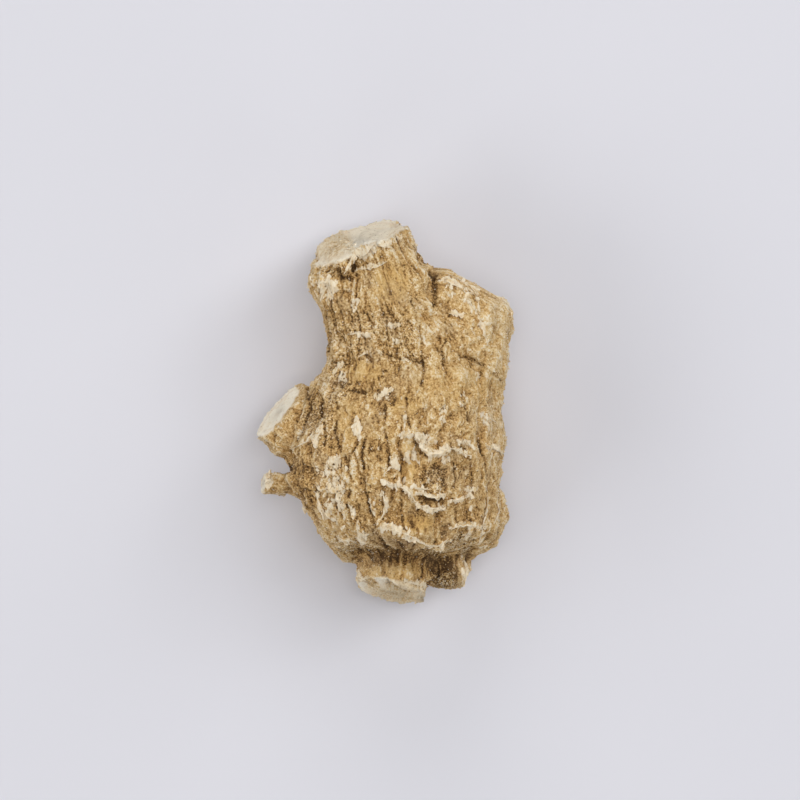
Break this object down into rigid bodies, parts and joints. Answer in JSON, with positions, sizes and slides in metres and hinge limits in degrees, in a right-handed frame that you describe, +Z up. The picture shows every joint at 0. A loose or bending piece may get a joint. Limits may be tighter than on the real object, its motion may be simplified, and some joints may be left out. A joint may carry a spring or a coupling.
{
  "type": "american ginseng root",
  "caption": "Short dried ginseng root chunk, wrinkled and tan, with a cut crown stub, a shoulder lump and trimmed side-root stubs, lying on its side.",
  "frame": {"origin": "centre of the bounding box in plan, on the surface that the root rests on", "axes": "+Y along the root towards the cut crown, +X across it towards the shoulder lump, +Z up from the surface"},
  "size_m": [0.0264, 0.0386, 0.0203],
  "materials": {
    "root_skin": "dull dried root skin, tan with paler crests and cut faces and brown creases"
  },
  "bodies": {
    "root": {"ginseng_root": "root_skin"}
  },
  "joints": []
}
